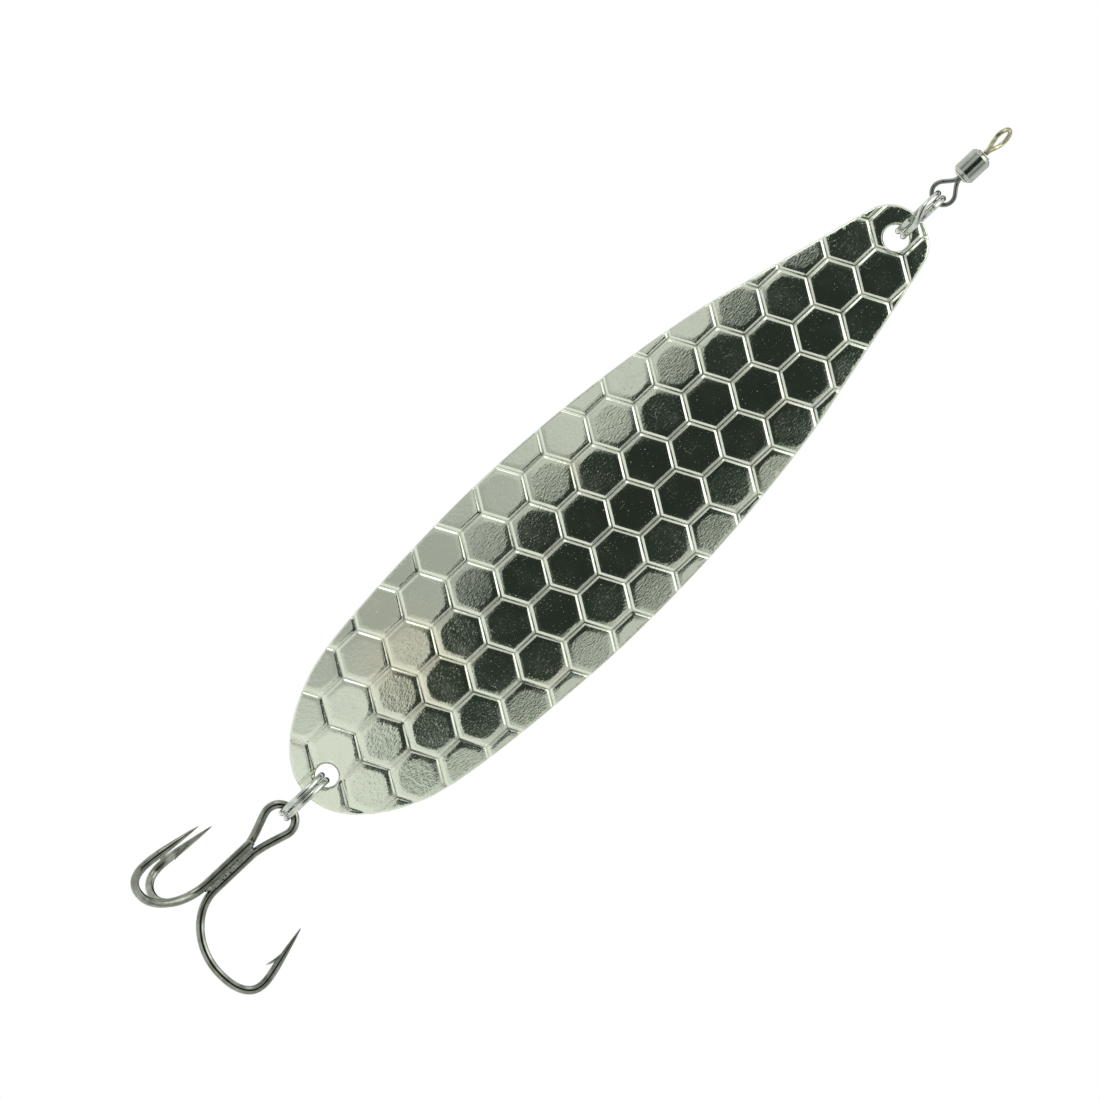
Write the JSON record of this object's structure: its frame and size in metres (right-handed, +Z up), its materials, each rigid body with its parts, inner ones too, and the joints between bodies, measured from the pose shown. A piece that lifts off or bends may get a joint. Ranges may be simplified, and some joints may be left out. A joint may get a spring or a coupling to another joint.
{
  "type": "spoon lure",
  "caption": "Polished trolling spoon with pressed hexagon cells, rolling swivel and split ring at the line end, split ring and barbed treble hook at the tail.",
  "frame": {"origin": "inner top of the front swivel eye, where the line or its clip pulls", "axes": "+Z up along the lure towards the line, -Y out of the blade's convex patterned face, +X to the right seen from that side"},
  "size_m": [0.0333, 0.0295, 0.1746],
  "materials": {
    "nickel_plate": "bright nickel plate over brass, lightly scratched",
    "ring_steel": "plated spring wire, polished",
    "barrel_steel": "polished nickel plate",
    "brass": "dull brass",
    "aged_brass": "darkened brass wire",
    "dark_steel": "dark plated wire",
    "bronzed_hook": "bronzed and lacquered hook wire",
    "braze": "rough braze under plating"
  },
  "bodies": {
    "line_eye": {"swivel_front_eye": "aged_brass"},
    "barrel": {"swivel_barrel": "barrel_steel", "swivel_front_bush": "brass", "swivel_rear_bush": "brass"},
    "rear_eye": {"swivel_rear_eye": "dark_steel"},
    "front_ring": {"front_split_ring": "ring_steel"},
    "blade": {"blade": "nickel_plate"},
    "rear_ring": {"rear_split_ring": "ring_steel"},
    "treble": {"hook_double": "bronzed_hook", "hook_single": "bronzed_hook", "hook_braze": "braze"}
  },
  "joints": [
    {"name": "barrel_spin", "type": "hinge", "parent": "line_eye", "child": "barrel", "pos_m": [0, 0, -0.00512], "axis": [0, 0, 1], "continuous": true},
    {"name": "rear_eye_spin", "type": "hinge", "parent": "barrel", "child": "rear_eye", "pos_m": [0, 0, -0.00972], "axis": [0, 0, 1], "continuous": true},
    {"name": "front_ring_swing", "type": "hinge", "parent": "rear_eye", "child": "front_ring", "pos_m": [0, 0, -0.01518], "axis": [1, 0, 0], "range_deg": [-75, 75]},
    {"name": "blade_swing", "type": "hinge", "parent": "front_ring", "child": "blade", "pos_m": [0, 0, -0.02322], "axis": [0, 1, 0], "range_deg": [-90, 90]},
    {"name": "rear_ring_swing", "type": "hinge", "parent": "blade", "child": "rear_ring", "pos_m": [0, 0.0005, -0.144], "axis": [1, 0, 0], "range_deg": [-70, 70]},
    {"name": "hook_swing", "type": "hinge", "parent": "rear_ring", "child": "treble", "pos_m": [0, 0, -0.1509], "axis": [0, 1, 0], "range_deg": [-70, 70]}
  ]
}
